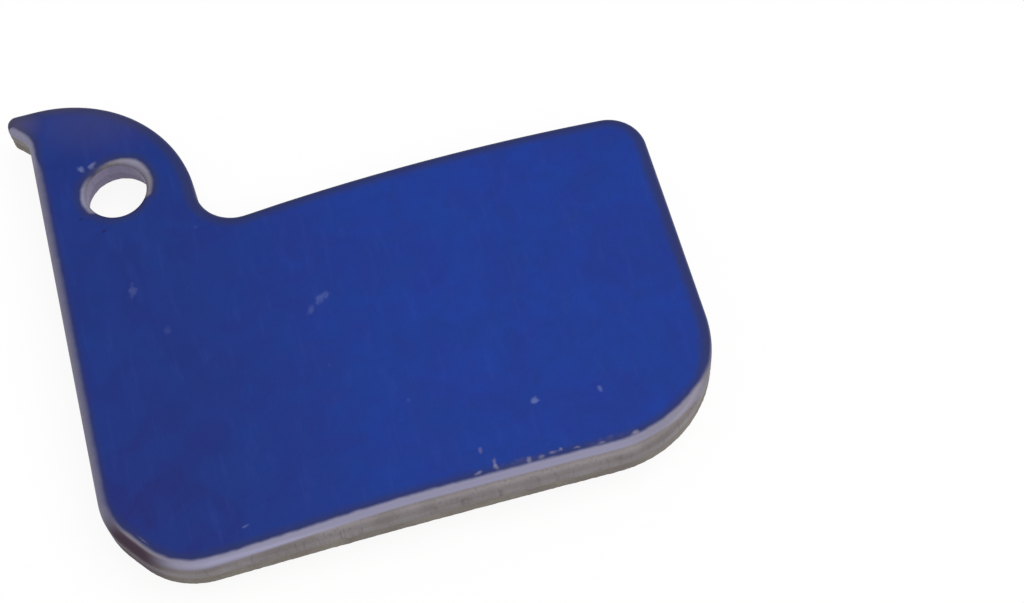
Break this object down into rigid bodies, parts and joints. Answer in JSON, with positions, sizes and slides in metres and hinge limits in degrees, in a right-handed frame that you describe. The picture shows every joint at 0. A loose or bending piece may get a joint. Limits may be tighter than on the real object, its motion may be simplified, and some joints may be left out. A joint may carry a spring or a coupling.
{
  "type": "bicycle disc brake pad",
  "caption": "Flat bicycle disc brake pad: a blue painted steel backing plate with a hooked fin and a pin hole, bonded to a sintered friction block.",
  "frame": {"origin": "middle of the friction face, between the plate's two ends and half way up its body, on the surface that the pad lies on", "axes": "+Z out of the plate's painted back, +Y towards the hooked fin with the pin hole, +X along the body away from the hook"},
  "size_m": [0.0314, 0.0275, 0.0038],
  "materials": {
    "painted_plate": "satin",
    "sintered_block": "matte"
  },
  "bodies": {
    "root": {"backing_plate": "painted_plate", "friction_block": "sintered_block"}
  },
  "joints": []
}
